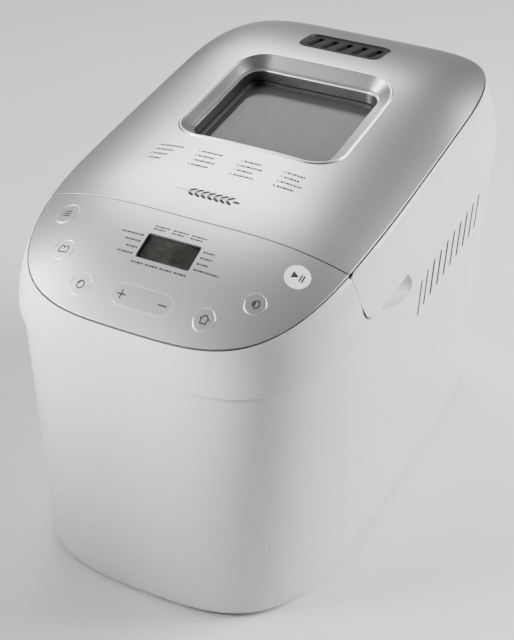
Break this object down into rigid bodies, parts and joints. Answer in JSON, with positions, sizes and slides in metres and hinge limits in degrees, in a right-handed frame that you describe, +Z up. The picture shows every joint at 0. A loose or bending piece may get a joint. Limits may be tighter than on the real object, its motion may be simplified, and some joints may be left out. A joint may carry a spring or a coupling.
{
  "type": "bread machine",
  "caption": "Tapered white bread machine with a sloping silver top, hinged lid with window and vent, curved key panel, lift-out pan, kneading paddles and a belt drive.",
  "frame": {"origin": "on the surface that the machine stands on, under the middle of its bounding box", "axes": "+Z up, -Y towards the user and the control panel, +X to the right as the user sees it"},
  "size_m": [0.2726, 0.4252, 0.3139],
  "materials": {
    "white_casing": "glossy moulded white",
    "silver_panel": "fine satin silver lacquer",
    "bright_bezel": "brushed bevel",
    "dark_plastic": "matt charcoal",
    "window_glass": "smoked clear",
    "display_window": "clear lens",
    "display": "dark liquid-crystal pane",
    "keycap": "satin silver lacquer",
    "start_keycap": "pale translucent",
    "rubber": "matt black",
    "steel": "brushed",
    "heater_sheath": "heat-darkened",
    "coated_tin": "dark non-stick coating",
    "handle_wire": "drawn wire",
    "grey_plastic": "moulded grey",
    "cast_metal": "as cast",
    "bronze_bush": "sintered bronze",
    "nylon": "natural nylon",
    "circuit_board": "green solder mask",
    "ceramic": "unglazed ceramic"
  },
  "bodies": {
    "body": {"baking_chamber": "steel", "base_plate": "grey_plastic", "control_board": "circuit_board", "control_fascia": "silver_panel", "cord_inlet": "dark_plastic", "drive_belt": "rubber", "drive_chassis": "cast_metal", "foot_front_left": "rubber", "foot_front_right": "rubber", "foot_rear_left": "rubber", "foot_rear_right": "rubber", "front_bearing": "bronze_bush", "front_housing": "white_casing", "heating_element": "heater_sheath", "hinge_bracket_left": "grey_plastic", "hinge_bracket_right": "grey_plastic", "hinge_pin_left": "steel", "hinge_pin_right": "steel", "inner_deck": "white_casing", "lcd_module": "display", "lcd_window": "display_window", "lower_body": "white_casing", "motor": "cast_metal", "pan_clip_left": "steel", "pan_clip_right": "steel", "power_board": "circuit_board", "rear_bearing": "bronze_bush", "shaft_belt": "rubber", "temperature_sensor": "steel", "thermal_fuse": "ceramic"},
    "lid": {"lid_frame": "white_casing", "lid_top_plate": "silver_panel", "window_frame": "bright_bezel", "window_glass": "window_glass", "window_gasket": "rubber", "inner_glass": "window_glass", "lid_liner": "steel", "lid_vent_grille": "dark_plastic"},
    "pan": {"bread_pan": "coated_tin"},
    "handle": {"pan_handle": "handle_wire"},
    "front_kneader": {"front_pan_shaft": "steel", "front_paddle": "coated_tin"},
    "rear_kneader": {"rear_pan_shaft": "steel", "rear_paddle": "coated_tin"},
    "front_drive": {"front_drive_shaft": "steel", "front_drive_pulley": "nylon", "front_drive_dog": "steel"},
    "rear_drive": {"rear_drive_shaft": "steel", "rear_drive_pulley": "nylon", "rear_drive_dog": "steel"},
    "motor_rotor": {"motor_shaft": "steel", "motor_pulley": "nylon"},
    "menu_button": {"menu_key": "keycap"},
    "loaf_size_button": {"loaf_size_key": "keycap"},
    "dough_button": {"dough_key": "keycap"},
    "plus_button": {"plus_key": "keycap"},
    "minus_button": {"minus_key": "keycap"},
    "home_button": {"home_key": "keycap"},
    "colour_button": {"colour_key": "keycap"},
    "start_button": {"start_key": "start_keycap"}
  },
  "joints": [
    {"name": "lid_hinge", "type": "hinge", "parent": "body", "child": "lid", "pos_m": [0, 0.204, 0.2475], "axis": [-1, 0, 0], "range_deg": [0, 95]},
    {"name": "pan_lift", "type": "slide", "parent": "body", "child": "pan", "axis": [0, 0, 1], "range_m": [0, 0.01]},
    {"name": "handle_swing", "type": "hinge", "parent": "pan", "child": "handle", "pos_m": [0, 0.035, 0.1945], "axis": [0, -1, 0], "range_deg": [0, 180]},
    {"name": "front_drive_spin", "type": "hinge", "parent": "body", "child": "front_drive", "pos_m": [0, -0.02, 0.03], "axis": [0, 0, 1], "continuous": true},
    {"name": "rear_drive_spin", "type": "hinge", "parent": "body", "child": "rear_drive", "pos_m": [0, 0.09, 0.03], "axis": [0, 0, 1], "continuous": true},
    {"name": "motor_spin", "type": "hinge", "parent": "body", "child": "motor_rotor", "pos_m": [0, -0.152, 0.03], "axis": [0, 0, 1], "continuous": true},
    {"name": "front_kneader_spin", "type": "hinge", "parent": "pan", "child": "front_kneader", "pos_m": [0, -0.02, 0.08], "axis": [0, 0, 1], "continuous": true},
    {"name": "rear_kneader_spin", "type": "hinge", "parent": "pan", "child": "rear_kneader", "pos_m": [0, 0.09, 0.08], "axis": [0, 0, 1], "continuous": true},
    {"name": "menu_press", "type": "slide", "parent": "body", "child": "menu_button", "axis": [0.2237, 0.3001, -0.9273], "range_m": [0, 0.0008], "stiffness_N_per_m": 1200},
    {"name": "loaf_size_press", "type": "slide", "parent": "body", "child": "loaf_size_button", "axis": [0.1322, 0.4119, -0.9016], "range_m": [0, 0.0008], "stiffness_N_per_m": 1200},
    {"name": "dough_press", "type": "slide", "parent": "body", "child": "dough_button", "axis": [0.0407, 0.4913, -0.8701], "range_m": [0, 0.0008], "stiffness_N_per_m": 1200},
    {"name": "plus_press", "type": "slide", "parent": "body", "child": "plus_button", "axis": [0.0011, 0.492, -0.8706], "range_m": [0, 0.0008], "stiffness_N_per_m": 1200},
    {"name": "minus_press", "type": "slide", "parent": "body", "child": "minus_button", "axis": [-0.0011, 0.492, -0.8706], "range_m": [0, 0.0008], "stiffness_N_per_m": 1200},
    {"name": "home_press", "type": "slide", "parent": "body", "child": "home_button", "axis": [-0.0407, 0.4913, -0.8701], "range_m": [0, 0.0008], "stiffness_N_per_m": 1200},
    {"name": "colour_press", "type": "slide", "parent": "body", "child": "colour_button", "axis": [-0.1322, 0.4119, -0.9016], "range_m": [0, 0.0008], "stiffness_N_per_m": 1200},
    {"name": "start_press", "type": "slide", "parent": "body", "child": "start_button", "axis": [-0.2237, 0.3001, -0.9273], "range_m": [0, 0.0008], "stiffness_N_per_m": 1200}
  ],
  "couplings": [
    {"joint": "rear_drive_spin", "follows": "front_drive_spin", "ratio": 1},
    {"joint": "motor_spin", "follows": "front_drive_spin", "ratio": 4.0909},
    {"joint": "front_kneader_spin", "follows": "front_drive_spin", "ratio": 1},
    {"joint": "rear_kneader_spin", "follows": "front_drive_spin", "ratio": 1}
  ]
}
